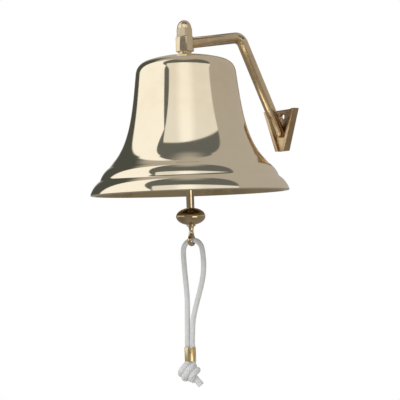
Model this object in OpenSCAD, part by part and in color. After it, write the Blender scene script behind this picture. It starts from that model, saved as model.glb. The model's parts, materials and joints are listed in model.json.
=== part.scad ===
// Ship's bell hung from a lift-off wall bracket.
// The origin is on the back of the wall plate, midway between its two screw holes.
// The wall is the plane y = 0, the bell hangs on the -Y side of it, and +Z is up.

/* [Bell] */
// Outer diameter across the mouth
mouth_d = 200; // [190:1:204]
// Thickness of the crown at its middle
crown_t = 5; // [4.5:0.5:6]

/* [Arm] */
// Distance from the wall to the bell's axis
reach = 124; // [122:1:128]
// Width across the flats of the octagonal bar
bar_af = 11; // [10:0.5:11.5]
// Radius of the bar's bend on its centreline
bend_r = 10; // [10:0.5:12]
// Width across the flats of the octagonal head
head_af = 17.5; // [16:0.5:19]
// Height of the octagonal head
head_h = 15; // [14:0.5:18]

/* [Wall plate] */
// Width of the plate at its top
plate_top_w = 51; // [48:0.5:54]
// Width of the plate at its bottom
plate_bottom_w = 15; // [14:0.5:18]
// Height of the plate
plate_h = 43.5; // [42:0.5:46]
// Depth of the plate from the wall to the front of its rails
plate_d = 7.5; // [7.5:0.5:9]
// Thickness of the plate behind the socket
floor_t = 2.5; // [2:0.5:3]
// Width of the front face of each rail
rail_w = 4.5; // [4:0.5:5]
// Distance between the two screw holes
hole_pitch = 26; // [24:0.5:28]
// Diameter of the screw holes
hole_d = 4.5; // [4:0.1:5]
// Diameter of each countersink at the floor of the socket
sink_d = 7.6; // [6.5:0.1:8]

/* [Hanger bolt and nuts] */
// Diameter of the hanger bolt
bolt_d = 8; // [7:0.5:8]
// Width across the flats of the domed nut
nut_af = 15; // [14:0.5:15.5]
// Height of the domed nut with its dome
nut_h = 17; // [16:0.5:19]
// Width across the flats of the lock nut under the crown
lock_nut_af = 13; // [12:0.5:14]
// Height of the lock nut
lock_nut_h = 6.5; // [5:0.5:7]

/* [Clapper] */
// Depth of the clapper's pivot below the top of the crown
pivot_drop = 40; // [40:1:44]
// Distance from the pivot to the middle of the bob
swing_r = 123; // [118:1:126]
// Diameter of the clapper rod
rod_d = 8; // [7:0.5:9]
// Diameter of the bob
bob_d = 29.5; // [27:0.5:32]
// Height of the bob
bob_h = 17.5; // [16:0.5:20]
// Outer diameter of the ring for the lanyard
ring_d = 12; // [12:0.5:14]
// Diameter of the hole in that ring
ring_hole_d = 7; // [7:0.1:7.4]
// Thickness of the ring
ring_t = 4.4; // [4:0.1:4.4]
// Turn of the pivot pin and of the ring's hole from the X axis, seen from above
pin_turn = 33; // [0:1:90]

/* [Lanyard] */
// Diameter of the rope
rope_d = 5; // [4.6:0.1:5]
// Outer diameter of the ferrule
ferrule_d = 11.4; // [11.4:0.2:13]
// Height of the ferrule
ferrule_h = 14; // [12:0.5:14]

/* [Hidden] */
$fn = 96;
eps = 0.05;                // overlap of shapes that are joined
far = 200;                 // longer than anything that it cuts

// Gaps between pieces
loose = 0.1;               // round a bolt, and between the wedge and its socket
running = 0.05;            // round a pin that turns
snug = 0.02;               // round a pin that stays put

// Heights, measured up from the rim and then from the origin
bell_k = mouth_d / 200;    // the profile below is drawn for a mouth of 200
bell_h = 140 * bell_k;
rim_z = -67;
crown_z = rim_z + bell_h;
seat_t = 3;                // thickness of the collar between the crown and the head
seat_d = 13;
head_z = crown_z + seat_t;
nut_z = head_z + head_h;
pivot_z = crown_z - pivot_drop;
bob_z = pivot_z - swing_r;
ring_below_bob = 24;
ring_z = bob_z - ring_below_bob;

// Brass and the other finishes
brass = [0.80, 0.65, 0.40];
bell_brass = [0.86, 0.78, 0.58];
steel = [0.62, 0.62, 0.63];
rope_white = [0.86, 0.87, 0.88];
ferrule_gold = [0.90, 0.74, 0.40];

// Curves
function on_bezier(p, t) =
    pow(1 - t, 3) * p[0] + 3 * pow(1 - t, 2) * t * p[1] + 3 * (1 - t) * t * t * p[2] + pow(t, 3) * p[3];
function bezier(p, n) = [for (i = [0:n]) on_bezier(p, i / n)];
// Arc from a down to b that swells outwards by rise
function swell(a, b, rise, n) =
    let (chord = norm(b - a),
         r = (chord * chord / 4 + rise * rise) / (2 * rise),
         side = [a[1] - b[1], b[0] - a[0]] / chord,
         c = (a + b) / 2 - side * (r - rise),
         from = atan2(a[1] - c[1], a[0] - c[0]),
         to = atan2(b[1] - c[1], b[0] - c[0]))
    [for (i = [0:n]) c + r * [cos(from + (to - from) * i / n), sin(from + (to - from) * i / n)]];
// Cap of a ball of radius ball_r whose top is at height top, from radius a out to radius b
function cap(ball_r, top, a, b, n) =
    [for (i = [0:n]) let (r = a + (b - a) * i / n) [r, top - ball_r + sqrt(ball_r * ball_r - r * r)]];

// Regular prism with its flats af apart
module prism(sides, af, h) {
    cylinder(r = af / 2 / cos(180 / sides), h = h, $fn = sides);
}

module at_bell_axis(z) {
    translate([0, -reach, z]) children();
}

// Frame of the pin and of everything that hangs from it: X along the pin
module at_pin(z) {
    at_bell_axis(z) rotate([0, 0, pin_turn]) children();
}

// ---- Wall plate -------------------------------------------------------------------------------
plate_z = -23.5;           // bottom of the plate
sink_depth = 1.5;
socket_lean = 1.2;         // how much wider each side of the socket is at its back
socket_top = plate_top_w / 2 - rail_w;
socket_bottom = plate_bottom_w / 2 - rail_w;
side_lean = atan2(socket_top - socket_bottom, plate_h);

// Everything on the -X side of the socket's +X wall, moved in by gap
module inside_wall(gap) {
    translate([socket_bottom - gap, -plate_d, plate_z])
        rotate([0, side_lean, 0])
            rotate([0, 0, -atan2(socket_lean, plate_d - floor_t)])
                translate([-far, -far / 2, -far / 2]) cube([far, far, far]);
}

// Tapered, undercut space between the rails
module socket(gap) {
    intersection() {
        inside_wall(gap);
        mirror([1, 0, 0]) inside_wall(gap);
        translate([-far / 2, -plate_d - 1, plate_z - 1])
            cube([far, plate_d + 1 - floor_t - gap, plate_h + 2]);
    }
}

module plate_outline() {
    polygon([[-plate_bottom_w / 2, 0], [plate_bottom_w / 2, 0],
             [plate_top_w / 2, plate_h], [-plate_top_w / 2, plate_h]]);
}

module wall_plate() {
    color(brass) difference() {
        translate([0, 0, plate_z]) rotate([90, 0, 0]) linear_extrude(plate_d) plate_outline();
        socket(0);
        for (z = [-hole_pitch / 2, hole_pitch / 2]) translate([0, 0, z]) rotate([90, 0, 0]) {
            translate([0, 0, -1]) cylinder(d = hole_d, h = plate_d);
            translate([0, 0, floor_t - sink_depth])
                cylinder(d1 = hole_d, d2 = sink_d, h = sink_depth);
        }
    }
}

// ---- Arm --------------------------------------------------------------------------------------
// The bar's centreline, as distance from the bell's axis and height
bar_start = [0, 84.2];
bar_corner = [70, 94.3];
bar_end = [127.6, -25.6];
rise_angle = atan2(bar_corner[1] - bar_start[1], bar_corner[0] - bar_start[0]);
fall_angle = atan2(bar_end[1] - bar_corner[1], bar_end[0] - bar_corner[0]);
bend_angle = rise_angle - fall_angle;
bend_back = bend_r * tan(bend_angle / 2);      // from the corner back to where the bend starts
bend_start = bar_corner - bend_back * [cos(rise_angle), sin(rise_angle)];
bend_end = bar_corner + bend_back * [cos(fall_angle), sin(fall_angle)];
bend_centre = bend_start + bend_r * [sin(rise_angle), -cos(rise_angle)];

// Foot: a wedge with a notch, and the tongue of the bar in the notch
foot_t = 2.6;              // thickness of the wedge
foot_arm_w = 2.5;          // width of the wedge's arms at the top
tongue_r = bar_af / 2;
tongue_z = plate_z + 20;
foot_back = -floor_t - loose;
notch_top = [socket_top - foot_arm_w, plate_z + plate_h + 1];
notch_reach = norm(notch_top - [0, tongue_z]);
notch_angle = atan2(notch_top[1] - tongue_z, notch_top[0]) - acos(tongue_r / notch_reach);
notch_low = [tongue_r * cos(notch_angle), tongue_z + tongue_r * sin(notch_angle)];

module bar_run(from, length, angle) {
    translate([0, from[0] - reach, from[1]]) rotate([angle - 90, 0, 0]) rotate([0, 0, 22.5])
        prism(8, bar_af, length);
}

module bar_bend() {
    translate([0, bend_centre[0] - reach, bend_centre[1]]) rotate([90, 0, 90])
        rotate([0, 0, fall_angle + 90]) rotate_extrude(angle = bend_angle)
            translate([bend_r, 0]) rotate(22.5) circle(r = bar_af / 2 / cos(22.5), $fn = 8);
}

// Cuts everything below the tongue to its round end
module below_tongue() {
    difference() {
        translate([-far / 2, -far / 2, tongue_z - far]) cube([far, far, far]);
        translate([0, far, tongue_z]) rotate([90, 0, 0]) cylinder(r = tongue_r, h = 2 * far);
    }
}

module head_prism() {
    at_bell_axis(head_z) rotate([0, 0, 22.5]) prism(8, head_af, head_h);
}

module arm_bar() {
    color(brass) difference() {
        union() {
            bar_run(bar_start, norm(bend_start - bar_start) + eps, rise_angle);
            bar_bend();
            bar_run(bar_end, norm(bar_end - bend_end) + eps, fall_angle + 180);
        }
        head_prism();
        translate([-far / 2, foot_back, -far / 2]) cube([far, far, far]);
        below_tongue();
    }
}

module arm_head() {
    color(brass) difference() {
        head_prism();
        at_bell_axis(head_z - 1) cylinder(d = bolt_d + 2 * loose, h = head_h + 2);
    }
}

module wedge_foot() {
    color(brass) difference() {
        intersection() {
            socket(loose);
            translate([-far / 2, foot_back - foot_t, plate_z]) cube([far, foot_t, plate_h]);
        }
        rotate([90, 0, 0]) {
            linear_extrude(plate_d) polygon([[-notch_top[0], notch_top[1]], [-notch_low[0], notch_low[1]],
                                             [notch_low[0], notch_low[1]], [notch_top[0], notch_top[1]]]);
            translate([0, tongue_z]) cylinder(r = tongue_r, h = plate_d);
        }
    }
}

// ---- Bell -------------------------------------------------------------------------------------
crown_ball_r = 140;
crown_edge_r = 38;
shoulder_z = 121;
bell_bore_r = bolt_d / 2 + loose;
outer_profile = concat(
    cap(crown_ball_r, 140, 0, crown_edge_r, 6),
    bezier([[38, 134.7], [44.5, 132.9], [49.6, 129.2], [50.6, shoulder_z]], 8),
    bezier([[50.6, shoulder_z], [54.4, 90], [57.5, 54], [75.2, 34]], 14),
    swell([80, 28], [89.6, 15.5], 1.3, 6),
    swell([90.2, 14.6], [100, 1], 1.4, 6),
    [[99.4, 0.3], [98.6, 0]]);
inner_profile = concat(
    bezier([[95.5, 0], [51, 44], [49.5, 86], [46.2, 118]], 14),
    bezier([[46.2, 118], [45.8, 125.4], [42.5, 128.2], [36, 130.3]], 6),
    [[24, 133.3], [11, 135], [0, 135]]);
inside_drop = crown_t - 5;  // lowers the inside of the crown when it is thicker

module bell() {
    color(bell_brass) at_bell_axis(rim_z) difference() {
        rotate_extrude() polygon(bell_k * concat(outer_profile,
            [for (p = inner_profile) p[1] > shoulder_z ? [p[0], p[1] - inside_drop] : p]));
        translate([0, 0, bell_h - 2 * crown_t]) cylinder(r = bell_bore_r, h = 3 * crown_t);
    }
}

// ---- Fasteners through the crown --------------------------------------------------------------
inner_washer_d = 18;
inner_washer_t = 1.5;
inner_washer_z = crown_z - crown_t * bell_k - inner_washer_t;
lock_nut_z = inner_washer_z - lock_nut_h;
bolt_head_d = 13;
bolt_head_h = 4;
bolt_head_top = pivot_z + 12;
thrust_t = 1;
yoke_web_z = bolt_head_top + thrust_t;
nut_bore_depth = 11;
dome_r = 7.25 * nut_af / 15;
hex_h = nut_h / 2;

module washer(z, d, t, bore_d) {
    at_bell_axis(z) difference() {
        cylinder(d = d, h = t);
        translate([0, 0, -1]) cylinder(d = bore_d, h = t + 2);
    }
}

module seat_washer() {
    color(brass) washer(crown_z, seat_d, seat_t, bolt_d + 2 * loose);
}

module domed_nut() {
    color(brass) at_bell_axis(nut_z) difference() {
        union() {
            rotate([0, 0, 30]) prism(6, nut_af, hex_h);
            translate([0, 0, hex_h]) rotate_extrude() polygon(concat([[0, -1], [dome_r, -1]],
                [for (a = [0:7.5:90]) [dome_r * cos(a), (nut_h - hex_h) * sin(a)]]));
        }
        translate([0, 0, -1]) cylinder(d = bolt_d + 2 * running, h = nut_bore_depth + 1);
    }
}

module inner_washer() {
    color(brass) washer(inner_washer_z, inner_washer_d, inner_washer_t, bolt_d + 2 * loose);
}

module lock_nut() {
    color(brass) at_bell_axis(lock_nut_z) difference() {
        prism(6, lock_nut_af, lock_nut_h);
        translate([0, 0, -1]) cylinder(d = bolt_d + 2 * running, h = lock_nut_h + 2);
    }
}

module hanger_bolt() {
    bolt_top = nut_z + nut_bore_depth - 1;
    color(steel) union() {
        at_bell_axis(bolt_head_top - 1) cylinder(d = bolt_d, h = bolt_top - bolt_head_top + 1);
        at_bell_axis(bolt_head_top - bolt_head_h) cylinder(d = bolt_head_d, h = bolt_head_h);
    }
}

module thrust_washer() {
    color(brass) washer(bolt_head_top, bolt_head_d, thrust_t, bolt_d + 2 * loose);
}

// ---- Swivel and clapper -----------------------------------------------------------------------
pin_d = 5;
yoke_gap = 16;             // between the yoke's legs
yoke_leg_t = 3.5;
yoke_w = 12;
yoke_web_t = 4;
pin_head_d = 8;
pin_head_t = 2;
split_d = 1.5;             // wire of the split pin
split_x = yoke_gap / 2 + yoke_leg_t + 1.8;
pin_tail = split_x + 1.8;
knuckle_d = 13;
knuckle_w = yoke_gap - 1;
spigot_d = 5;
spigot_l = 7;
rod_seat = bob_z + bob_h / 2 - 1.25;
tail_seat = bob_z - bob_h / 2 + 0.75;
collar_d = 9;
collar_h = 2;
neck_d = 6;
ring_wall = (ring_d - ring_hole_d) / 2;
ring_land = 0.2;           // cut away by the hole, which leaves it a straight land

// Cylinder along X from x to x + length
module x_rod(x, d, length) {
    translate([x, 0, 0]) rotate([0, 90, 0]) cylinder(d = d, h = length);
}

module swivel_yoke() {
    color(brass) at_pin(pivot_z) difference() {
        union() {
            for (side = [-1, 1]) translate([side * (yoke_gap + yoke_leg_t) / 2, 0, 0]) {
                translate([-yoke_leg_t / 2, -yoke_w / 2, 0])
                    cube([yoke_leg_t, yoke_w, yoke_web_z + yoke_web_t - pivot_z]);
                x_rod(-yoke_leg_t / 2, yoke_w, yoke_leg_t);
            }
            translate([-yoke_gap / 2 - eps, -yoke_w / 2, yoke_web_z - pivot_z])
                cube([yoke_gap + 2 * eps, yoke_w, yoke_web_t]);
        }
        x_rod(-yoke_gap, pin_d + 2 * snug, 2 * yoke_gap);
        cylinder(d = bolt_d + 2 * running, h = 2 * pivot_drop);
    }
}

module pivot_pin() {
    color(brass) at_pin(pivot_z) difference() {
        union() {
            x_rod(-yoke_gap / 2 - yoke_leg_t - 1, pin_d, yoke_gap / 2 + yoke_leg_t + 1 + pin_tail);
            x_rod(-yoke_gap / 2 - yoke_leg_t - pin_head_t, pin_head_d, pin_head_t);
        }
        translate([split_x, 0, -pin_d]) cylinder(d = split_d + 2 * snug, h = 2 * pin_d);
    }
}

module split_pin() {
    loop_r = 1.7;
    color(steel) at_pin(pivot_z) translate([split_x, 0, 0]) {
        translate([0, 0, -6]) cylinder(d = split_d, h = 6 + pin_d / 2 + 0.8, $fn = 24);
        translate([0, 0, pin_d / 2 + 0.6 + loop_r]) rotate([0, 90, 0]) rotate_extrude($fn = 32)
            translate([loop_r, 0]) circle(d = split_d, $fn = 16);
    }
}

module clapper_rod() {
    color(brass) at_pin(0) difference() {
        union() {
            translate([0, 0, rod_seat]) cylinder(d = rod_d, h = pivot_z - rod_seat);
            translate([0, 0, rod_seat - spigot_l]) cylinder(d = spigot_d, h = spigot_l + 1);
            translate([0, 0, pivot_z]) x_rod(-knuckle_w / 2, knuckle_d, knuckle_w);
        }
        translate([0, 0, pivot_z]) x_rod(-knuckle_w, pin_d + 2 * running, 2 * knuckle_w);
    }
}

module clapper_bob() {
    color(brass) at_pin(bob_z) difference() {
        rotate_extrude() polygon([for (a = [-90:7.5:90]) [bob_d / 2 * cos(a), bob_h / 2 * sin(a)]]);
        translate([0, 0, -bob_h]) cylinder(d = spigot_d + 2 * snug, h = 2 * bob_h);
        translate([0, 0, rod_seat - bob_z]) cylinder(d = rod_d + 2 * snug, h = bob_h);
        translate([0, 0, tail_seat - bob_z - bob_h]) cylinder(d = collar_d + 2 * snug, h = bob_h);
    }
}

module tail_ring() {
    neck_end = ring_z + ring_d / 2 - ring_wall / 2;
    color(brass) at_pin(0) difference() {
        union() {
            translate([0, 0, tail_seat - 1]) cylinder(d = spigot_d, h = spigot_l);
            translate([0, 0, tail_seat - collar_h]) cylinder(d = collar_d, h = collar_h);
            translate([0, 0, neck_end]) cylinder(d = neck_d, h = tail_seat - neck_end - 1);
            translate([0, 0, ring_z]) rotate([0, 90, 0]) rotate_extrude()
                translate([ring_d / 2 - ring_wall / 2, 0]) polygon([for (a = [0:22.5:337.5])
                    [(ring_wall / 2 + (cos(a) < 0 ? ring_land : 0)) * cos(a), ring_t / 2 * sin(a)]]);
        }
        translate([0, 0, ring_z]) x_rod(-ring_d, ring_hole_d, 2 * ring_d);
    }
}

// ---- Lanyard ----------------------------------------------------------------------------------
// Route of the rope's centreline: distance along the pin's direction, and height from the ring
rope_route = [
    [-8.3, -121], [-8.3, -112], [-8.3, -103], [-8.1, -96], [-7.9, -89], [-7.6, -80], [-7.2, -70],
    [-7, -60], [-7.3, -50], [-8, -40], [-8.7, -30], [-9.2, -20], [-9.4, -11], [-8, -5.4], [-4.1, -1.4],
    [1.2, 0.1], [6.4, -1.4], [9.9, -5.4], [11.3, -11], [12, -20], [11.8, -30], [10.1, -40], [7.3, -50],
    [4.2, -60], [1.1, -70], [-1.3, -80], [-2.3, -89], [-2.8, -96],
    [-3.1, -103], [-3.1, -112], [-3.1, -121]];
rope_steps = 2;            // rings to each stretch of the route
rope_sides = 10;
ferrule_x = -5.7;
ferrule_top = ring_z - 107;
ferrule_bore = ferrule_d - 1;
knot_top = ring_z - 121;   // where the two strands go into the knot

function route_point(i) = rope_route[max(0, min(len(rope_route) - 1, i))];
function on_route(i, t) =
    let (a = route_point(i - 1), b = route_point(i), c = route_point(i + 1), d = route_point(i + 2))
    0.5 * (2 * b + (c - a) * t + (2 * a - 5 * b + 4 * c - d) * t * t + (3 * b - a - 3 * c + d) * t * t * t);
rope_line = concat(
    [for (i = [0:len(rope_route) - 2], k = [0:rope_steps - 1]) on_route(i, k / rope_steps)],
    [route_point(len(rope_route) - 1)]);
rope_last = len(rope_line) - 1;
// The rope runs straight up out of the ferrule and straight down into it
function heading(i) =
    i == 0 ? [0, 1] : i == rope_last ? [0, -1] :
    let (d = rope_line[i + 1] - rope_line[i - 1]) d / norm(d);
function rope_ring(i) =
    let (h = heading(i))
    [for (k = [0:rope_sides - 1]) let (a = 360 * k / rope_sides)
        [rope_line[i][0] - h[1] * cos(a) * rope_d / 2, sin(a) * rope_d / 2,
         rope_line[i][1] + h[0] * cos(a) * rope_d / 2]];

module lanyard_rope() {
    points = [for (i = [0:rope_last]) each rope_ring(i)];
    sides = [for (i = [0:rope_last - 1], k = [0:rope_sides - 1])
        let (a = i * rope_sides + k, b = i * rope_sides + (k + 1) % rope_sides)
        each [[a, a + rope_sides, b], [b, a + rope_sides, b + rope_sides]]];
    ends = [[for (k = [0:rope_sides - 1]) k],
            [for (k = [rope_sides - 1:-1:0]) rope_last * rope_sides + k]];
    color(rope_white) at_pin(ring_z) polyhedron(points, concat(sides, ends));
}

module ferrule() {
    color(ferrule_gold) at_pin(ferrule_top - ferrule_h) translate([ferrule_x, 0, 0]) difference() {
        cylinder(d = ferrule_d, h = ferrule_h);
        translate([0, 0, -1]) cylinder(d = ferrule_bore, h = ferrule_h + 2);
    }
}

module rope_knot() {
    slant = 43;            // of the knot and its tail below the horizontal
    body_l = 21;
    body_d = 17.4;
    tail_d = 8;
    tail_end = 25;         // from the top wrap to the middle of the tail's round end
    color(rope_white) at_pin(0) union() {
        translate([ferrule_x, 0, knot_top - body_d / 2])
            cylinder(d = ferrule_bore - 2 * loose, h = body_d / 2);
        translate([ferrule_x - 5.9, 0, knot_top - 6]) rotate([0, 90 + slant, 0]) {
            translate([0, 0, body_l / 4]) rotate_extrude()
                polygon([for (a = [-90:10:90]) [body_d / 2 * cos(a), body_l / 2 * sin(a)]]);
            cylinder(d = tail_d, h = tail_end);
            translate([0, 0, tail_end]) sphere(d = tail_d);
        }
    }
}

wall_plate();
wedge_foot();
arm_bar();
arm_head();
seat_washer();
domed_nut();
bell();
inner_washer();
lock_nut();
hanger_bolt();
thrust_washer();
swivel_yoke();
pivot_pin();
split_pin();
clapper_rod();
clapper_bob();
tail_ring();
lanyard_rope();
ferrule();
rope_knot();
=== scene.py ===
# %% [markdown]
# # A ship's bell on its lift-off bracket
# The bell hangs from an octagonal brass arm whose foot drops into a plate on the wall. A clapper with
# a rope lanyard hangs inside it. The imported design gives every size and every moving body, and this
# script gives the looks: it makes each visible piece again with its real edges and finish, and lets
# it ride on the body that carries it.

# %% Load the frame
import json
from math import atan2, cos, degrees, hypot, pi, radians, sin, sqrt

import bmesh
import bpy
from mathutils import Matrix, Vector


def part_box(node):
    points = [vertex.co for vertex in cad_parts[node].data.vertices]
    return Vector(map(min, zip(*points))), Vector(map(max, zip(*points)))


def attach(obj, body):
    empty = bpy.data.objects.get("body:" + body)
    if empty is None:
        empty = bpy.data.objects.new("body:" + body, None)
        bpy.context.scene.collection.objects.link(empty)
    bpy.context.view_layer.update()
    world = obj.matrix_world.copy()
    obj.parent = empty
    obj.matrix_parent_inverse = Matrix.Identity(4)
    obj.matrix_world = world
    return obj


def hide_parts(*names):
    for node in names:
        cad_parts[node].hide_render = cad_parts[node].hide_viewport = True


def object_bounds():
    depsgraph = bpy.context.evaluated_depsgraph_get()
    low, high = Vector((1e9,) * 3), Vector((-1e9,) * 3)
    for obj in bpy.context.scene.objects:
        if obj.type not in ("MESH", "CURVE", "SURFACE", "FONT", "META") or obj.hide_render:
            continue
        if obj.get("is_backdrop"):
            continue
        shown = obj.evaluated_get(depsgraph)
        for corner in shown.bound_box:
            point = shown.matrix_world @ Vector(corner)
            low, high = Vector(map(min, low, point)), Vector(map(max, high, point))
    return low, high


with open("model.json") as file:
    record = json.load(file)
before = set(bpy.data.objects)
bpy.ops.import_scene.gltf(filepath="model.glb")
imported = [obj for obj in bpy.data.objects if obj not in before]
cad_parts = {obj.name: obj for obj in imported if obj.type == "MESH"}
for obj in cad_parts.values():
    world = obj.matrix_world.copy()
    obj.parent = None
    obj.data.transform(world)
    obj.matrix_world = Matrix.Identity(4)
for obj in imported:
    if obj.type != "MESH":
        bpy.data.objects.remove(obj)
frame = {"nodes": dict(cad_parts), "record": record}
cad_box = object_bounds()
MM = 0.001
bodies = frame["record"]["behaviour"]["bodies"]
carrier = {node: body for body, nodes in bodies.items() for node in nodes}
bell_low, bell_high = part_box("bell")
reach = (bell_low.y + bell_high.y) / 2 / MM
rim_z = bell_low.z / MM

# %% [markdown]
# ## Camera
# The eye is a little below the rim and well round to the bell's side, so that the bracket shows in
# profile. A long lens from far off keeps the mouth's ellipse thin. The whole bell leans two degrees
# in the frame, which is a roll of the camera and not a tilt of the bell.

# %% Camera
TURN, RISE, ROLL = radians(55), radians(-1.6), radians(2)
EYE_DISTANCE = 1.4
MOUTH_LEFT, MOUTH_ABOVE = 10.05 * MM, 6.5 * MM

toward = Vector((sin(TURN) * cos(RISE), -cos(TURN) * cos(RISE), sin(RISE)))
level_right = Vector((cos(TURN), sin(TURN), 0))
level_up = toward.cross(level_right)
right = level_right * cos(ROLL) - level_up * sin(ROLL)
up = level_up * cos(ROLL) + level_right * sin(ROLL)
mouth = Vector((0, reach * MM, rim_z * MM))
aim = mouth + right * MOUTH_LEFT - up * MOUTH_ABOVE

lens = bpy.data.cameras.new("camera")
lens.lens, lens.sensor_width = 125.4, 36
lens.clip_start, lens.clip_end = 0.05, 50
camera = bpy.data.objects.new("camera", lens)
bpy.context.scene.collection.objects.link(camera)
axes = Matrix((right, up, toward)).transposed()
camera.matrix_world = Matrix.Translation(aim + toward * EYE_DISTANCE) @ axes.to_4x4()
bpy.context.scene.camera = camera
print(f"camera at {[round(v, 3) for v in camera.location]}")

# %% [markdown]
# ## Node sums as Python
# A material or a node tree for geometry is easier to read as sums than as a list of links. A Wire is
# one output of a node, and + - * / on wires add Math nodes. Every other node comes from
# Graph.node(), which takes the node's type, its settings, and what goes into its sockets.


# %% Wires and graphs
class Wire:
    """One output of a node. Sums on wires add Math nodes to the same tree."""

    def __init__(self, graph, socket):
        self.graph, self.socket = graph, socket

    def apply(self, operation, *others):
        """The sum of this wire and the others, in that order."""
        return self.graph.math(operation, self, *others)

    def other(self, name):
        """Another output of the node that this wire leaves."""
        return Wire(self.graph, self.socket.node.outputs[name])

    def __add__(self, value):
        return self.apply("ADD", value)

    def __sub__(self, value):
        return self.apply("SUBTRACT", value)

    def __rsub__(self, value):
        return self.graph.math("SUBTRACT", value, self)

    def __mul__(self, value):
        return self.apply("MULTIPLY", value)

    def __truediv__(self, value):
        return self.apply("DIVIDE", value)

    __radd__ = __add__
    __rmul__ = __mul__


class Graph:
    """A node tree that is written as calls."""

    def __init__(self, tree):
        self.tree = tree

    def node(self, kind, settings=None, inputs=None, out=0):
        made = self.tree.nodes.new(kind)
        for name, value in (settings or {}).items():
            setattr(made, name, value)
        for name, value in (inputs or {}).items():
            if isinstance(value, Wire):
                self.tree.links.new(value.socket, made.inputs[name])
            else:
                made.inputs[name].default_value = value
        return Wire(self, made.outputs[out]) if made.outputs else None

    def math(self, operation, *values):
        return self.node("ShaderNodeMath", {"operation": operation}, dict(enumerate(values)))

    def vector(self, operation, *values, out=0):
        return self.node("ShaderNodeVectorMath", {"operation": operation}, dict(enumerate(values)), out)

    def scaled(self, vector, factor):
        return self.node("ShaderNodeVectorMath", {"operation": "SCALE"}, {0: vector, "Scale": factor})

    def step(self, value, start, end):
        """0 below start and 1 above end, with a soft change between them. start may be above end."""
        return self.node("ShaderNodeMapRange", {"interpolation_type": "SMOOTHSTEP"},
                         {"Value": value, "From Min": start, "From Max": end})

    def mix(self, factor, a, b):
        """Colour a where factor is 0 and b where it is 1."""
        return self.node("ShaderNodeMix", {"data_type": "RGBA"}, {0: factor, 6: a, 7: b}, 2)

    def noise(self, place, scale, detail=2.0):
        inputs = {"Vector": place, "Scale": scale, "Detail": detail}
        return self.node("ShaderNodeTexNoise", None, inputs, "Fac")

    def stretched(self, place, scale):
        """The coordinates with each axis scaled on its own."""
        return self.node("ShaderNodeMapping", None, {"Vector": place, "Scale": scale})

    def bump(self, height, distance):
        return self.node("ShaderNodeBump", None, {"Height": height, "Distance": distance, "Strength": 1.0})


print("wires and graphs are ready")

# %% [markdown]
# ## Studio light
# Polished brass shows the room and not itself, so the room is the most important light here. Two
# tall cream panels stand to the left and in front with a dark gap between them, the right side is a
# plain beige wall, and the ceiling is dark. Under the front panel runs a dark strip, and a patch of
# the ground before the bell is brightly lit. The camera itself sees plain white. A painted sky does
# this with less noise than lamps. One large lamp that no reflection shows lights the rope.

# %% Studio
CREAM = (1.0, 0.985, 0.95, 1)
SOFT_CREAM = (0.80, 0.78, 0.74, 1)
WALL = (0.44, 0.405, 0.365, 1)
CEILING = (0.13, 0.135, 0.13, 1)
DARK = (0.075, 0.08, 0.07, 1)
GROUND = (0.28, 0.26, 0.23, 1)
LIT_GROUND = (2.2, 2.1, 1.8, 1)
WHITE = (1, 1, 1, 1)
LEFT_PANEL, FRONT_PANEL = (-135, -50), (-35, 53)     # degrees round from the camera, to its right
PANEL_TOP, TOP_SLOPE, TOP_BEND = 56, 0.0825, 0.00325  # the front panel's top edge falls away to both sides
GAP_CLOSES, LEFT_LEANS = 14, 36                       # heights from which the panels' edges lean
GAP_LEAN, LEFT_LEAN, FAR_LEAN = 0.6, 1.5, 0.27        # degrees of bearing for each degree of height
MIDDLE = -3                                           # bearing of the front panel's brightest streak
# Where each soft edge starts and ends, in degrees of height or of bearing.
MIDDLE_FADE, FRONT_FOOT, LEFT_TOP = (26, 4), (12, 9), (88, 84)
DARK_BACK, DARK_TOP, CEILING_EDGE, HORIZON = (-172, -162), (60, 45), (90, 72), (-1, -5)
PATCH_LEFT, PATCH_RIGHT, PATCH_NEAR, PATCH_FAR = (10, 16), (56, 48), (-27, -23), (-3, -6)


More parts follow.
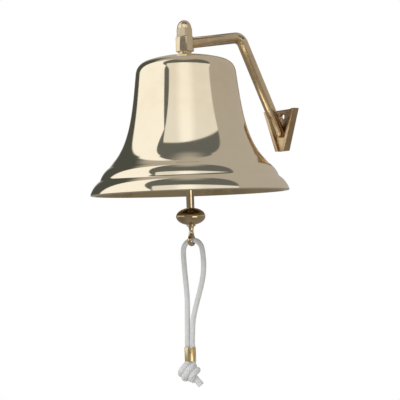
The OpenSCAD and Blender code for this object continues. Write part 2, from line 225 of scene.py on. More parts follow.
def room_colour(graph):
    """Colour of the studio in each direction, as a bearing and a height in degrees."""
    way = graph.node("ShaderNodeTexCoord", out="Generated")
    across = graph.vector("DOT_PRODUCT", way, level_right, out="Value")
    ahead = graph.vector("DOT_PRODUCT", way, (sin(TURN), -cos(TURN), 0), out="Value")
    bearing = across.apply("ARCTAN2", ahead) * degrees(1)
    height = graph.node("ShaderNodeSeparateXYZ", None, {0: way}, "Z")
    height = height.apply("ARCSINE") * degrees(1)
    # The panels lean together overhead: the gap between them closes, and their outer sides fall away.
    above_gap = (height - GAP_CLOSES).apply("MAXIMUM", 0.0)
    above_left = (height - LEFT_LEANS).apply("MAXIMUM", 0.0)
    left_edge = LEFT_PANEL[1] - LEFT_LEAN * above_left
    front_edge = FRONT_PANEL[0] - GAP_LEAN * above_gap
    right_edge = FRONT_PANEL[1] + GAP_LEAN * above_gap
    front_top = PANEL_TOP - bearing * TOP_SLOPE - bearing * bearing * TOP_BEND
    in_front = graph.step(bearing - front_edge, -0.8, 0.8) * graph.step(right_edge - bearing, -1.2, 1.2)
    lit_front = in_front * graph.step(front_top - height, -1.5, 1.5)
    under_front = in_front * graph.step(height, *FRONT_FOOT)
    far_edge = LEFT_PANEL[0] + FAR_LEAN * height
    lit_left = (graph.step(bearing - far_edge, -2, 2) * graph.step(left_edge - bearing, -0.8, 0.8)
                * graph.step(height, *LEFT_TOP))
    dark_left = (graph.step(far_edge - bearing, -2, 2) * graph.step(bearing, *DARK_BACK)
                 * graph.step(height, *DARK_TOP))
    overhead = (graph.step(bearing - left_edge, -0.8, 0.8) * graph.step(right_edge - bearing, -2, 2)
                * graph.step(height, *CEILING_EDGE))
    middle = graph.step((bearing - MIDDLE).apply("ABSOLUTE"), *MIDDLE_FADE)
    lit_patch = (graph.step(bearing, *PATCH_LEFT) * graph.step(bearing, *PATCH_RIGHT)
                 * graph.step(height, *PATCH_NEAR) * graph.step(height, *PATCH_FAR))
    colour = graph.mix(dark_left, WALL, DARK)
    colour = graph.mix(overhead, colour, CEILING)
    colour = graph.mix(lit_left, colour, CREAM)
    colour = graph.mix(lit_front, colour, graph.mix(middle, SOFT_CREAM, CREAM))
    colour = graph.mix(under_front, colour, CEILING)
    ground = graph.mix(lit_patch, GROUND, LIT_GROUND)
    return graph.mix(graph.step(height, *HORIZON), colour, ground)


world = bpy.data.worlds.new("studio")
bpy.context.scene.world = world
world.use_nodes = True
world.node_tree.nodes.clear()
studio = Graph(world.node_tree)
seen = studio.node("ShaderNodeLightPath", out="Is Camera Ray")
shown_room = studio.mix(seen, room_colour(studio), WHITE)
background = studio.node("ShaderNodeBackground", None, {"Color": shown_room})
studio.node("ShaderNodeOutputWorld", None, {"Surface": background})

lamp = bpy.data.lights.new("softbox", "AREA")
lamp.shape, lamp.size, lamp.size_y, lamp.energy = "RECTANGLE", 1.2, 1.2, 13
softbox = bpy.data.objects.new("softbox", lamp)
bpy.context.scene.collection.objects.link(softbox)
softbox.location = aim + toward * 1.1 - level_right * 0.8 + Vector((0, 0, 0.9))
softbox.rotation_mode = "QUATERNION"
softbox.rotation_quaternion = (softbox.location - aim).to_track_quat("Z", "Y")
softbox.visible_glossy = False
bpy.context.scene.view_settings.view_transform = "Standard"
print("the studio is lit")

# %% [markdown]
# ## Making a mesh, and handing it to the frame
# Every piece ends the same way: its mesh has outward faces and sharp edges only where the metal has them, and
# the piece takes the body and the place of the CAD node that it stands for.


# %% Helpers for pieces
def piece_from(name, mesh, finish, sharp=35):
    """An object at the origin for a finished bmesh."""
    bmesh.ops.remove_doubles(mesh, verts=mesh.verts, dist=1e-6)
    bmesh.ops.recalc_face_normals(mesh, faces=mesh.faces)
    data = bpy.data.meshes.new(name)
    mesh.to_mesh(data)
    mesh.free()
    data.shade_smooth()
    data.set_sharp_from_angle(angle=radians(sharp))
    data.materials.append(finish)
    made = bpy.data.objects.new(name, data)
    bpy.context.scene.collection.objects.link(made)
    return made


def stand_for(piece, slot, *nodes):
    """piece rides where the nodes ride and is shown in their place. slot is not used."""
    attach(piece, carrier[nodes[0]])
    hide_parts(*nodes)
    piece.data.calc_loop_triangles()
    print(f"{piece.name}: {len(piece.data.loop_triangles)} triangles for {', '.join(nodes)}")


def plain_mesh(made):
    """made as a new object with its modifiers worked out, at the origin."""
    shown = made.evaluated_get(bpy.context.evaluated_depsgraph_get())
    data = bpy.data.meshes.new_from_object(shown, depsgraph=bpy.context.evaluated_depsgraph_get())
    result = bpy.data.objects.new(made.name, data)
    name = made.name
    bpy.data.objects.remove(made)
    bpy.context.scene.collection.objects.link(result)
    result.name = data.name = name
    return result


print("helpers are ready")

# %% [markdown]
# ## Polished brass
# Brass is a metal shader with a warm base colour. What makes it real is small: faint rings from the
# buffing wheel, a roughness that wanders a little, and patches where the lacquer has let it brown.
# One function makes them all, and each finish says how bright, how brown and how fine it is.


# %% Brass finishes
def material(name, sockets):
    """A material from a function that gives what goes into the shader's sockets."""
    made = bpy.data.materials.new(name)
    made.use_nodes = True
    made.node_tree.nodes.clear()
    graph = Graph(made.node_tree)
    shader = graph.node("ShaderNodeBsdfPrincipled", None, sockets(graph))
    graph.node("ShaderNodeOutputMaterial", None, {"Surface": shader})
    return made


def metal(bright, brown, polish, wander, grain, depth, patch=16.0):
    """Sockets of a metal. polish is its roughness and wander how far that varies. grain gives the scale of
    its fine lines along each axis, in lines a metre, and depth is their height in metres."""
    def sockets(graph):
        place = graph.node("ShaderNodeTexCoord", out="Object")
        cloud = graph.noise(place, patch, 4.0)
        smear = graph.noise(place, patch * 9, 3.0)
        lines = graph.noise(graph.stretched(place, grain), 1.0, 2.0)
        tarnish = graph.step(cloud * 0.75 + smear * 0.25, 0.42, 0.72)
        rough = polish + wander * (smear - 0.5) + wander * tarnish * 0.6 + wander * (lines - 0.5) * 0.5
        return {"Base Color": graph.mix(tarnish, bright, brown), "Metallic": 1.0, "Roughness": rough,
                "Normal": graph.bump(lines, depth)}
    return sockets


mirror_brass = material("mirror_brass", metal(
    (0.955, 0.872, 0.70, 1), (0.90, 0.79, 0.60, 1), 0.065, 0.05, (25, 25, 1400), 1.0e-6, 9.0))
turned_brass = material("turned_brass", metal(
    (0.62, 0.52, 0.34, 1), (0.40, 0.31, 0.19, 1), 0.30, 0.14, (40, 40, 1500), 1.0e-5))
cast_brass = material("cast_brass", metal(
    (0.80, 0.65, 0.44, 1), (0.60, 0.45, 0.29, 1), 0.17, 0.08, (400, 400, 400), 4e-7, 30.0))
socket_brass = material("socket_brass", metal(
    (0.62, 0.46, 0.28, 1), (0.44, 0.30, 0.17, 1), 0.22, 0.12, (400, 400, 400), 6e-7, 40.0))
nut_brass = material("nut_brass", metal(
    (0.86, 0.73, 0.52, 1), (0.64, 0.50, 0.32, 1), 0.13, 0.08, (200, 200, 1600), 1.2e-6, 60.0))
# The clapper's brass is darker and browner than the rest: partly tarnish, partly painted shade for hanging
# inside the bell.
clapper_brass = material("clapper_brass", metal(
    (0.66, 0.54, 0.36, 1), (0.40, 0.30, 0.18, 1), 0.11, 0.08, (120, 120, 1500), 1.2e-6, 50.0))
gold_brass = material("gold_brass", metal(
    (0.98, 0.80, 0.46, 1), (0.84, 0.60, 0.32, 1), 0.27, 0.08, (900, 900, 60), 4e-7, 60.0))
# Painted shade: dark brown brass for the floor of the plate's socket, in place of the shade in the recess.
recess_shade_brass = material("recess_shade_brass", metal(
    (0.30, 0.21, 0.13, 1), (0.17, 0.11, 0.065, 1), 0.42, 0.15, (700, 700, 700), 1e-5, 60.0))
bright_steel = material("bright_steel", metal(
    (0.62, 0.62, 0.63, 1), (0.42, 0.40, 0.38, 1), 0.25, 0.12, (300, 300, 1500), 3e-6, 60.0))
print("nine metals")

# %% [markdown]
# ## Turned pieces
# The bell, the bob, the washers and the ferrule come off a lathe, so each is an outline turned round
# an axis. A nut or the octagonal head is nearly the same thing: the outline is cut back wherever it
# would stand outside the flats, which leaves the curved chamfers that a real nut has. Turning the
# outline in code keeps the rings even, and an outline that reaches the axis closes in one point.


# %% The lathe
def corner_radius(angle, flats):
    """How far from the axis the flat at this angle is, for flats = (how many, distance across, turn)."""
    count, across, turn = flats
    pitch = 2 * pi / count
    off_centre = (angle - turn) % pitch - pitch / 2
    return across / 2 / cos(off_centre)


def turned(name, outline, centre, finish, flats=None, rings=192, sharp=35):
    """The closed outline [(radius, height), ...] in mm, turned round the vertical through centre, in mm."""
    mesh = bmesh.new()
    loops = []
    for radius, height in outline:
        if radius < 1e-6:
            loops.append([mesh.verts.new(Vector((centre[0], centre[1], centre[2] + height)) * MM)])
            continue
        loop = []
        for i in range(rings):
            angle = 2 * pi * i / rings
            r = min(radius, corner_radius(angle, flats)) if flats else radius
            loop.append(mesh.verts.new(Vector((
                centre[0] + r * cos(angle), centre[1] + r * sin(angle), centre[2] + height)) * MM))
        loops.append(loop)
    for a, b in zip(loops, loops[1:] + loops[:1]):
        if len(a) == len(b) == 1:
            continue
        for i in range(rings):
            j = (i + 1) % rings
            if len(a) == 1:
                mesh.faces.new((a[0], b[j], b[i]))
            elif len(b) == 1:
                mesh.faces.new((a[i], a[j], b[0]))
            else:
                mesh.faces.new((a[i], a[j], b[j], b[i]))
    return piece_from(name, mesh, finish, sharp)


def arc(centre, rx, ry, start, end, steps):
    """Points on an ellipse from angle start to angle end, in degrees."""
    angles = [radians(start + (end - start) * i / steps) for i in range(steps + 1)]
    return [(centre[0] + rx * cos(a), centre[1] + ry * sin(a)) for a in angles]


def sleeve(inner, outer, low, high, edge):
    """Outline of a washer or a tube with rounded edges."""
    corners = ((outer - edge, low + edge, -90), (outer - edge, high - edge, 0),
               (inner + edge, high - edge, 90), (inner + edge, low + edge, 180))
    return [point for r, z, start in corners for point in arc((r, z), edge, edge, start, start + 90, 4)]


def slope(start, end, steps):
    """Evenly spaced points from start to end, for a chamfer that flats will cut."""
    return [tuple(a + (b - a) * i / steps for a, b in zip(start, end)) for i in range(steps + 1)]


print("the lathe is ready")

# %% [markdown]
# ## The bell
# The bell is cast and then turned and buffed outside. Its outline is a shallow cap, a round shoulder,
# a waist that opens in one long curve, and two swollen mouldings above the lip. The curves are the
# design's own, drawn here with more steps because a mirror finish shows every flat. The inside is
# left as the lathe tool leaves it, which is a second material on the same mesh.

# %% Bell
CROWN_BALL = 140                          # radius of the shallow cap
BORE_R = 4.1                              # clearance for the bolt through every piece under the nut


def bezier(a, b, c, d, steps):
    points = []
    for i in range(steps + 1):
        t = i / steps
        weights = ((1 - t) ** 3, 3 * (1 - t) ** 2 * t, 3 * (1 - t) * t * t, t ** 3)
        points.append(tuple(sum(w * p[k] for w, p in zip(weights, (a, b, c, d))) for k in (0, 1)))
    return points


def swell(a, b, rise, steps):
    """Arc from a down to b that swells outwards by rise."""
    chord = hypot(b[0] - a[0], b[1] - a[1])
    radius = (chord * chord / 4 + rise * rise) / (2 * rise)
    side = ((a[1] - b[1]) / chord, (b[0] - a[0]) / chord)
    centre = [(a[k] + b[k]) / 2 - side[k] * (radius - rise) for k in (0, 1)]
    start = degrees(atan2(a[1] - centre[1], a[0] - centre[0]))
    end = degrees(atan2(b[1] - centre[1], b[0] - centre[0]))
    return arc(centre, radius, radius, start, end, steps)


cap_radii = [BORE_R + (38 - BORE_R) * i / 16 for i in range(16)]
outside = ([(r, sqrt(CROWN_BALL ** 2 - r * r)) for r in cap_radii]
           + bezier((38, 134.7), (44.5, 132.9), (49.6, 129.2), (50.6, 121), 18)
           + bezier((50.6, 121), (54.4, 90), (57.5, 54), (75.2, 34), 48)[1:]
           + swell((80, 28), (89.6, 15.5), 1.3, 16)
           + swell((90.2, 14.6), (100, 1), 1.4, 18)
           + [(99.4, 0.3), (98.6, 0)])
inside = (bezier((95.5, 0), (51, 44), (49.5, 86), (46.2, 118), 40)
          + bezier((46.2, 118), (45.8, 125.4), (42.5, 128.2), (36, 130.3), 12)[1:]
          + [(24, 133.3), (11, 135), (BORE_R, 135)])
bell = turned("bell_casting", outside + inside, (0, reach, rim_z), mirror_brass, rings=256, sharp=28)
bell.data.materials.append(turned_brass)
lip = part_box("bell")[0].z + 0.05 * MM
for face in bell.data.polygons:
    middle = Vector(face.center)
    outward = Vector((middle.x, middle.y - reach * MM, 0))
    under_crown = face.normal.z < -0.9 and middle.z > lip
    face.material_index = int(face.normal.dot(outward) < 0 or under_crown)
stand_for(bell, "bell_brass", "bell")

# %% [markdown]
# ## Nuts, head and washers
# These hold the bell to the arm: a collar on the crown, the arm's octagonal head, and a domed nut on
# top. Inside the crown a washer and a lock nut take the same bolt.

# %% Nuts, head and washers
THREAD_R = 4.05                           # tapped bore of both nuts


def node_span(node):
    """Lowest and highest height of a CAD node, in mm."""
    low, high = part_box(node)
    return low.z / MM, high.z / MM


def radius_of(node):
    """Outer radius of a round CAD node, in mm."""
    low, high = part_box(node)
    return (high.x - low.x) / 2 / MM


def on_axis(z):
    return 0, reach, z


low, high = node_span("domed_nut")
hex_h = 8.5
nut_outline = ([(0, 11), (THREAD_R, 11), (THREAD_R, 0.4), (4.5, 0)] + slope((7.35, 0), (8.66, 0.75), 8)
               + slope((8.66, hex_h - 0.75), (7.35, hex_h), 8)
               + arc((0, hex_h), 7.25, high - low - hex_h, 2, 90, 24))
nut_outline[-1] = (0, high - low)
stand_for(turned("dome_nut", nut_outline, on_axis(low), nut_brass, (6, 15, radians(30))),
          "nut_brass", "domed_nut")

low, high = node_span("arm_head")
head_h = high - low
head_outline = ([(BORE_R, 0)] + slope((8.6, 0), (9.47, 0.6), 4)
                + slope((9.47, head_h - 0.8), (8.6, head_h), 4) + [(BORE_R, head_h)])
stand_for(turned("octagon_head", head_outline, on_axis(low), nut_brass, (8, 17.5, radians(22.5))),
          "bracket_brass", "arm_head")

low, high = node_span("lock_nut")
nut_h = high - low
lock_outline = ([(THREAD_R, 0.4), (4.5, 0)] + slope((6.4, 0), (7.5, 0.6), 6)
                + slope((7.5, nut_h - 0.6), (6.4, nut_h), 6) + [(4.5, nut_h), (THREAD_R, nut_h - 0.4)])
stand_for(turned("crown_nut", lock_outline, on_axis(low), nut_brass, (6, 13, 0)), "plain_brass", "lock_nut")

for node, name, finish in (("seat_washer", "head_collar", cast_brass),
                           ("inner_washer", "crown_washer", nut_brass),
                           ("thrust_washer", "swivel_washer", nut_brass)):
    low, high = node_span(node)
    made = turned(name, sleeve(BORE_R, radius_of(node), 0, high - low, 0.2), on_axis(low), finish, rings=96)
    stand_for(made, "plain_brass", node)

# %% [markdown]
# ## Bolt
# The hanger bolt carries everything: its round head holds up the swivel, and its thread runs through
# the crown and the arm into the domed nut. A thread is one groove that winds round, so the ring of
# vertices is pushed in and out with the angle and the height together.

# %% Hanger bolt
low, high = node_span("hanger_bolt")
THREAD_PITCH, THREAD_DEPTH = 1.25, 0.35
SHANK_R, HEAD_R, HEAD_H = 4.0, 6.5, 4.0
PLAIN_END = 8.0                           # length of plain shank above the head
thread_low, thread_high = HEAD_H + PLAIN_END, high - low - 0.8
rows = int((thread_high - thread_low) / (THREAD_PITCH / 8))
bolt_outline = ([(0, 0)] + arc((HEAD_R - 0.6, 0.6), 0.6, 0.6, -90, 0, 5)
                + arc((HEAD_R - 0.3, HEAD_H - 0.3), 0.3, 0.3, 0, 90, 3)
                + [(SHANK_R, HEAD_H), (SHANK_R, thread_low)]
                + [(SHANK_R, thread_low + (i + 1) * THREAD_PITCH / 8) for i in range(rows)]
                + [(3.3, high - low), (0, high - low)])
bolt = turned("hanger_screw", bolt_outline, on_axis(low), bright_steel, rings=48, sharp=50)
for vertex in bolt.data.vertices:
    x, y, z = vertex.co.x, vertex.co.y - reach * MM, vertex.co.z / MM - low - thread_low
    if 0 < z < thread_high - thread_low and hypot(x, y) > 3 * MM:
        phase = (z / THREAD_PITCH - atan2(y, x) / (2 * pi)) % 1
        depth = THREAD_DEPTH * abs(2 * phase - 1) * min(1, z / THREAD_PITCH)
        vertex.co.x -= depth * MM * x / hypot(x, y)
        vertex.co.y -= depth * MM * y / hypot(x, y)
stand_for(bolt, "steel", "hanger_bolt")

# %% [markdown]
# ## Bracket, swivel and clapper
# Sawn, drilled and cast pieces keep the design's own shape. What the design leaves out is that no
# real edge is sharp, and a broken edge is what catches the light. A copy of each CAD mesh has its
# doubled points merged and its flat triangles joined, and then a Bevel modifier rounds the edges.


# %% Pieces with broken edges
def broken_edges(name, node, width, finish):
    """A copy of a CAD node whose edges are rounded to width, in mm."""
    mesh = bmesh.new()
    mesh.from_mesh(frame["nodes"][node].data)
    bmesh.ops.remove_doubles(mesh, verts=mesh.verts, dist=2e-6)
    bmesh.ops.dissolve_limit(mesh, angle_limit=radians(0.5), verts=mesh.verts, edges=mesh.edges)
    data = bpy.data.meshes.new(name)
    mesh.to_mesh(data)
    mesh.free()
    data.shade_smooth()
    data.materials.append(finish)
    made = bpy.data.objects.new(name, data)
    bpy.context.scene.collection.objects.link(made)
    bevel = made.modifiers.new("broken edges", "BEVEL")
    bevel.width, bevel.segments = width * MM, 3
    bevel.limit_method, bevel.angle_limit = "ANGLE", radians(24)
    bevel.miter_outer = "MITER_ARC"
    bevel.harden_normals = True           # keeps the flats between the rounded edges flat
    return plain_mesh(made)


SOCKET_FLOOR = -2.5 * MM                  # its distance from the wall
for node, name, width, finish, slot in (
        ("wall_plate", "slotted_plate", 0.45, socket_brass, "bracket_brass"),
        ("wedge_foot", "notched_foot", 0.35, socket_brass, "bracket_brass"),
        ("arm_bar", "octagon_bar", 0.8, cast_brass, "bracket_brass"),
        ("swivel_yoke", "clapper_fork", 0.4, clapper_brass, "plain_brass"),
        ("pivot_pin", "fork_pin", 0.25, clapper_brass, "plain_brass"),
        ("clapper_rod", "clapper_stem", 0.5, clapper_brass, "clapper_brass")):
    made = broken_edges(name, node, width, finish)
    if node == "wall_plate":
        # The floor of the socket is painted dark brown for the shade that falls in the recess, and is rough.
        made.data.materials.append(recess_shade_brass)
        for face in made.data.polygons:
            face.material_index = int(face.normal.y < -0.9 and abs(face.center.y - SOCKET_FLOOR) < 0.1 * MM)
    stand_for(made, slot, node)

# The split pin keeps its CAD mesh.
for slot in frame["nodes"]["split_pin"].material_slots:
    slot.material = bright_steel

# %% [markdown]
# ## Bob
# The bob is a flattened ball, turned from bar. The stem sits in a shallow seat on its top and the
# lanyard eye in one underneath, so the outline runs down through the bore as well.

# %% Bob
BOB_R, BOB_HALF = 14.75, 8.75
STEM_SEAT_R, EYE_SEAT_R, BOB_BORE_R = 4.02, 4.52, 2.52
SEAT_ABOVE, SEAT_BELOW = 7.5, -8.0        # heights of the two seats from the bob's middle
stem_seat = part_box("clapper_rod")[0].z / MM + 7


def rim_angle(radius):
    """Angle on the bob's outline, in degrees, at which it is radius from the axis."""
    return degrees(atan2(sqrt(1 - (radius / BOB_R) ** 2), radius / BOB_R))


bob_outline = ([(BOB_BORE_R, SEAT_ABOVE), (STEM_SEAT_R, SEAT_ABOVE)]
               + arc((0, 0), BOB_R, BOB_HALF, rim_angle(STEM_SEAT_R), -rim_angle(EYE_SEAT_R), 48)
               + [(EYE_SEAT_R, SEAT_BELOW), (BOB_BORE_R, SEAT_BELOW)])
stand_for(turned("bob", bob_outline, on_axis(stem_seat - SEAT_ABOVE), clapper_brass),
          "clapper_brass", "clapper_bob")

# %% [markdown]
# ## Lanyard eye
# Under the bob hangs an eye: a collar, a waisted neck and a ring, turned and forged as one. The neck
# comes off the lathe and the ring is swept, and a Boolean modifier joins them, so that the finished
# piece is one skin with no hidden walls.

# %% Lanyard eye
PIN_TURN = radians(33)
eye_low, eye_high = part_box("tail_ring")
RING_Z = eye_low.z / MM + 6
RING_R = 4.75                             # from the ring's middle to the middle of its section
WIRE_R, WIRE_T = 1.25, 2.2                # half the section, across the ring and along the pin
bob_foot = eye_high.z / MM - RING_Z - 6   # underside of the bob's seat, above the ring's middle


def beside_pin(s, t, z):
    """A point s mm along the pin, t mm towards its open side and z mm above the eye, in metres."""
    x = s * cos(PIN_TURN) + t * sin(PIN_TURN)
    y = reach + s * sin(PIN_TURN) - t * cos(PIN_TURN)
    return Vector((x, y, RING_Z + z)) * MM


neck_outline = ([(0, bob_foot + 6), (2.3, bob_foot + 6), (2.48, bob_foot + 5.8), (2.48, bob_foot)]
                + arc((4.1, bob_foot - 0.4), 0.4, 0.4, 90, 0, 4)
                + arc((4.1, bob_foot - 1.6), 0.4, 0.4, 0, -90, 4)
                + [(3.0 - 0.75 * sin(pi * i / 10), bob_foot - 2.1 - (bob_foot - 7.4) * i / 10)
                   for i in range(11)]
                + [(2.6, 4.6), (0, 4.6)])
neck = turned("eye_neck", neck_outline, on_axis(RING_Z), clapper_brass, rings=64)
mesh = bmesh.new()
STATIONS, SIDES = 64, 24
loops = []
for i in range(STATIONS):
    a = 2 * pi * i / STATIONS
    loop = []
    for k in range(SIDES):
        b = 2 * pi * k / SIDES
        r = RING_R + WIRE_R * cos(b)
        loop.append(mesh.verts.new(beside_pin(WIRE_T * sin(b), r * sin(a), r * cos(a))))
    loops.append(loop)
for loop, following in zip(loops, loops[1:] + loops[:1]):
    for k in range(SIDES):
        mesh.faces.new((loop[k], loop[(k + 1) % SIDES], following[(k + 1) % SIDES], following[k]))
eye = piece_from("lanyard_eye", mesh, clapper_brass)
union = eye.modifiers.new("joined", "BOOLEAN")
union.operation, union.object, union.solver = "UNION", neck, "EXACT"
eye = plain_mesh(eye)
bpy.data.objects.remove(neck)
eye.data.set_sharp_from_angle(angle=radians(40))
stand_for(eye, "clapper_brass", "tail_ring")

# %% [markdown]
# ## Lanyard
# The lanyard is one length of white braided cord, 5 mm thick. It goes down through a brass ferrule
# as two strands, hangs from the eye as a loop, and its ends are tied in a knot under the ferrule.
# The route is the design's own list of points, smoothed the same way.

# %% Route of the rope
ROPE_D = 5.0
# Along the pin and up from the eye, in mm: up one strand, over the eye and down the other.
ROUTE = [(-8.3, -121), (-8.3, -112), (-8.3, -103), (-8.1, -96), (-7.9, -89), (-7.6, -80), (-7.2, -70),
         (-7, -60), (-7.3, -50), (-8, -40), (-8.7, -30), (-9.2, -20), (-9.4, -11), (-8, -5.4), (-4.1, -1.4),
         (1.2, 0.1), (6.4, -1.4), (9.9, -5.4), (11.3, -11), (12, -20), (11.8, -30), (10.1, -40),
         (7.3, -50), (4.2, -60), (1.1, -70), (-1.3, -80), (-2.3, -89), (-2.8, -96), (-3.1, -103),
         (-3.1, -112), (-3.1, -121)]


def smooth(points, steps):
    """A curve through the points, steps to each stretch."""
    line = []
    last = len(points) - 1
    for i in range(last):
        a, b, c, d = (Vector(points[max(0, min(last, i + k))]) for k in (-1, 0, 1, 2))
        for k in range(steps):
            t = k / steps
            line.append(0.5 * (2 * b + (c - a) * t + (2 * a - 5 * b + 4 * c - d) * t * t
                               + (3 * b - a - 3 * c + d) * t ** 3))
    return line + [Vector(points[-1])]


rope_line = smooth([beside_pin(s, 0, z) for s, z in ROUTE], 6)
rope_length = sum((b - a).length for a, b in zip(rope_line, rope_line[1:]))
print(f"the loop is {rope_length / MM:.0f} mm of rope")

# %% [markdown]
# ## Braid
# Braided cord has as many strands winding to the left as to the right, and each passes over one and
# under the next. That is a rule along a path, so Geometry Nodes make it: the centreline is copied
# once for each strand, each copy is moved out to its place round the rope, and a flat section is
# swept along it. At any one distance every crossing has the same strand on top, so one cosine of the
# distance moves all the left-hand strands out while the right-hand ones move in.


# %% The braiding tree
def braid_tree():
    tree = bpy.data.node_groups.new("braid", "GeometryNodeTree")
    for name, kind in (("Centreline", "Geometry"), ("Diameter", "Float"), ("Lay", "Float"),
                       ("Each Way", "Int"), ("Step", "Float"), ("Finish", "Material")):
        tree.interface.new_socket(name, in_out="INPUT", socket_type="NodeSocket" + kind)
    tree.interface.new_socket("Braid", in_out="OUTPUT", socket_type="NodeSocketGeometry")
    g = Graph(tree)
    given = g.node("NodeGroupInput", out="Centreline")
    diameter, lay, each_way = (given.other(name) for name in ("Diameter", "Lay", "Each Way"))
    middle = diameter * 0.415             # how far from the centreline the strands lie
    wave = diameter * 0.04                # how far they move out and in as they cross
    line = g.node("GeometryNodeResampleCurve", {"mode": "LENGTH"},
                  {"Curve": given, "Length": given.other("Step")})
    line = g.node("GeometryNodeSetCurveNormal", {"mode": "MINIMUM_TWIST"}, {"Curve": line})
    copies = g.node("GeometryNodeDuplicateElements", {"domain": "SPLINE"},
                    {"Geometry": line, "Amount": each_way * 2})
    index = copies.other("Duplicate Index")
    side = index.apply("LESS_THAN", each_way) * 2 - 1
    along = g.node("GeometryNodeSplineParameter", out="Length") * (2 * pi) / lay
    angle = side * along + index * (2 * pi) / each_way
    normal = g.node("GeometryNodeInputNormal")
    tangent = g.node("GeometryNodeInputTangent")
    outward = g.vector("ADD", g.scaled(normal, angle.apply("COSINE")),
                       g.scaled(g.vector("CROSS_PRODUCT", tangent, normal), angle.apply("SINE")))
    weave = along * each_way
    weave = side * weave.apply("COSINE")
    marked = g.node("GeometryNodeStoreNamedAttribute", {"data_type": "FLOAT", "domain": "POINT"},
                    {"Geometry": copies, "Name": "along", "Value": along + index})
    strands = g.node("GeometryNodeSetCurveNormal", {"mode": "FREE"}, {"Curve": marked, "Normal": outward})
    strands = g.node("GeometryNodeSetPosition", None,
                     {"Geometry": strands, "Offset": g.scaled(normal, middle + wave * weave)})
    section = g.node("GeometryNodeCurvePrimitiveCircle", {"mode": "RADIUS"}, {"Resolution": 8, "Radius": 0.5})
    round_section = g.node("GeometryNodeSplineParameter", out="Factor")
    section = g.node("GeometryNodeStoreNamedAttribute", {"data_type": "FLOAT", "domain": "POINT"},
                     {"Geometry": section, "Name": "across", "Value": round_section})
    thick, wide = diameter * 0.135, diameter * 2.05 / each_way
    flat = g.node("ShaderNodeCombineXYZ", None, {0: thick, 1: wide, 2: 1.0})
    section = g.node("GeometryNodeTransform", None, {"Geometry": section, "Scale": flat})
    woven = g.node("GeometryNodeCurveToMesh", None, {0: strands, 1: section, "Fill Caps": True})
    core = g.node("GeometryNodeCurvePrimitiveCircle", {"mode": "RADIUS"}, {"Resolution": 10, "Radius": middle})
    core = g.node("GeometryNodeCurveToMesh", None, {0: line, 1: core, "Fill Caps": True})
    joined = g.tree.nodes.new("GeometryNodeJoinGeometry")
    for part in (woven, core):
        tree.links.new(part.socket, joined.inputs[0])
    whole = g.node("GeometryNodeSetShadeSmooth", None, {0: Wire(g, joined.outputs[0])})
    whole = g.node("GeometryNodeRealizeInstances", None, {0: whole})
    whole = g.node("GeometryNodeSetMaterial", None,
                   {"Geometry": whole, "Material": given.other("Finish")})
    g.node("NodeGroupOutput", None, {0: whole})
    return tree


def braided(name, lines, finish, diameter):
    """Rope along each of the lines, as one plain mesh."""
    curve = bpy.data.curves.new(name, "CURVE")
    curve.dimensions = "3D"
    for line in lines:
        spline = curve.splines.new("POLY")
        spline.points.add(len(line) - 1)
        for point, place in zip(spline.points, line):
            point.co = (*place, 1)
    made = bpy.data.objects.new(name, curve)
    bpy.context.scene.collection.objects.link(made)
    tree = braid_tree()
    nodes = made.modifiers.new("braid", "NODES")
    nodes.node_group = tree
    sizes = {"Diameter": diameter * MM, "Lay": 17 * MM, "Each Way": 8, "Step": 0.5 * MM, "Finish": finish}
    for socket in tree.interface.items_tree:
        if socket.in_out == "INPUT" and socket.name in sizes:
            nodes[socket.identifier] = sizes[socket.name]
    made.update_tag()
    return plain_mesh(made)


def rope_sockets(graph):
    along = graph.node("ShaderNodeAttribute", {"attribute_name": "along"}, None, "Fac")
    across = graph.node("ShaderNodeAttribute", {"attribute_name": "across"}, None, "Fac")
    yarns = (across * 14 + along * 3) * (2 * pi)
    yarns = yarns.apply("SINE") * 0.5 + 0.5
    place = graph.node("ShaderNodeTexCoord", out="Object")
    soil = graph.step(graph.noise(place, 180.0, 4.0), 0.35, 0.75)
    fluff = graph.noise(place, 4500.0, 2.0)
    clean = graph.mix(yarns, (0.68, 0.70, 0.73, 1), (0.86, 0.88, 0.91, 1))
    return {"Base Color": graph.mix(soil * 0.3, clean, (0.60, 0.60, 0.59, 1)), "Roughness": 0.82,
            "Sheen Weight": 0.25, "Sheen Roughness": 0.5, "Normal": graph.bump(yarns * 0.7 + fluff * 0.3, 7e-5)}


white_cord = material("white_cord", rope_sockets)
rope = braided("lanyard", [rope_line], white_cord, ROPE_D * 1.05)
stand_for(rope, "rope", "lanyard_rope")

# %% [markdown]
# ## Knot and ferrule
# The knot is tied in the doubled cord: one end winds two and a half times round the other, and the
# end that is left points down to the side. The wraps are a helix round the slanted tail, made of the
# same braid, and a little thicker because the cord swells where it is bent hard.

# %% Knot and ferrule
KNOT_SLANT = radians(46)
KNOT_TOP = (-12.2, -127)                  # middle of the top wrap
WRAPS, WRAP_PITCH, KNOT_ROPE = 2.6, 5.6, 6.4


def in_knot(along_tail, above_tail, t):
    """A point in the knot: along the tail, above it and towards the open side, in mm."""
    s = KNOT_TOP[0] + along_tail * cos(KNOT_SLANT) + above_tail * sin(KNOT_SLANT)
    z = KNOT_TOP[1] - along_tail * sin(KNOT_SLANT) + above_tail * cos(KNOT_SLANT)
    return beside_pin(s, t, z)


def wrap_radius(turns):
    """The wraps are widest in the middle of the knot, and the last one tucks under."""
    return (6.6 + 0.9 * sin(pi * turns / WRAPS)) * min(1, (WRAPS - turns) / 0.6) ** 0.6


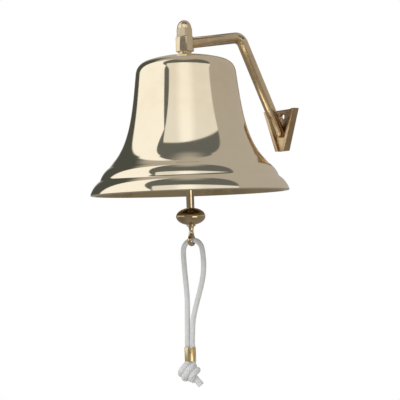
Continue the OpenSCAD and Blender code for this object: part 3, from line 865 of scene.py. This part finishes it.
wraps = [in_knot(WRAP_PITCH * n, wrap_radius(n) * cos(2 * pi * n), wrap_radius(n) * sin(2 * pi * n))
         for n in (WRAPS * i / 90 for i in range(1, 86))]
wraps = [beside_pin(-8.3, 0, -117), beside_pin(-8.3, 0, -119.6), beside_pin(-8.2, 0.5, -121.8)] + wraps
standing = [beside_pin(-3.1, 0, -117), beside_pin(-3.1, 0, -120), beside_pin(-4, -0.6, -123.5),
            in_knot(5, 1.0, 1.6), in_knot(9, 1.0, 1.6), in_knot(14, 0.6, 0.9), in_knot(19, 0.2, 0.3),
            in_knot(24.5, 0, 0)]
second_end = [in_knot(4, -1, -1.5), in_knot(9, -1.6, -1.6), in_knot(13, -2.2, -1.4), in_knot(17, -2.6, -0.8)]
strands = [smooth(wraps, 2), smooth(standing, 8), smooth(second_end, 8)]
knot = braided("stopper_knot", strands, white_cord, KNOT_ROPE)
stand_for(knot, "rope", "rope_knot")

low, high = node_span("ferrule")
ferrule_centre = [sum(corner[k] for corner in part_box("ferrule")) / 2 / MM for k in (0, 1)] + [low]
ferrule_r = radius_of("ferrule")
ferrule = turned("brass_ferrule", sleeve(ferrule_r - 0.5, ferrule_r, 0, high - low, 0.24), ferrule_centre,
                 gold_brass, rings=96)
stand_for(ferrule, "ferrule_brass", "ferrule")

# %% [markdown]
# ## Floor
# The bell hangs in the air in front of a wall that isn't drawn. A pale floor gives the scene a ground,
# far enough down that the bell can also be looked at from below.

# %% Floor
FLOOR_DROP, FLOOR_R = 2.0, 3.5
floor_material = material("pale_floor", lambda graph: {
    "Base Color": graph.mix(graph.noise(graph.node("ShaderNodeTexCoord", out="Object"), 60.0, 3.0),
                            (0.84, 0.83, 0.81, 1), (0.88, 0.87, 0.85, 1)),
    "Roughness": 0.6, "Emission Color": (1, 0.99, 0.97, 1), "Emission Strength": 0.3})
floor_mesh = bmesh.new()
bmesh.ops.create_circle(floor_mesh, cap_ends=True, segments=96, radius=FLOOR_R)
bmesh.ops.translate(floor_mesh, verts=floor_mesh.verts, vec=(0, reach * MM, cad_box[0].z - FLOOR_DROP))
floor = piece_from("floor", floor_mesh, floor_material)
floor.visible_glossy = False
floor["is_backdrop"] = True
print("floor laid")

# %% [markdown]
# ## Sizes, and the end
# The last lines write the design's box and the finished model's box, so that the two can be compared.

# %% Finish
shown_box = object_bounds()
for title, box in (("cad box", cad_box), ("visual box", shown_box)):
    print(title, [[round(x, 4) for x in v] for v in box])
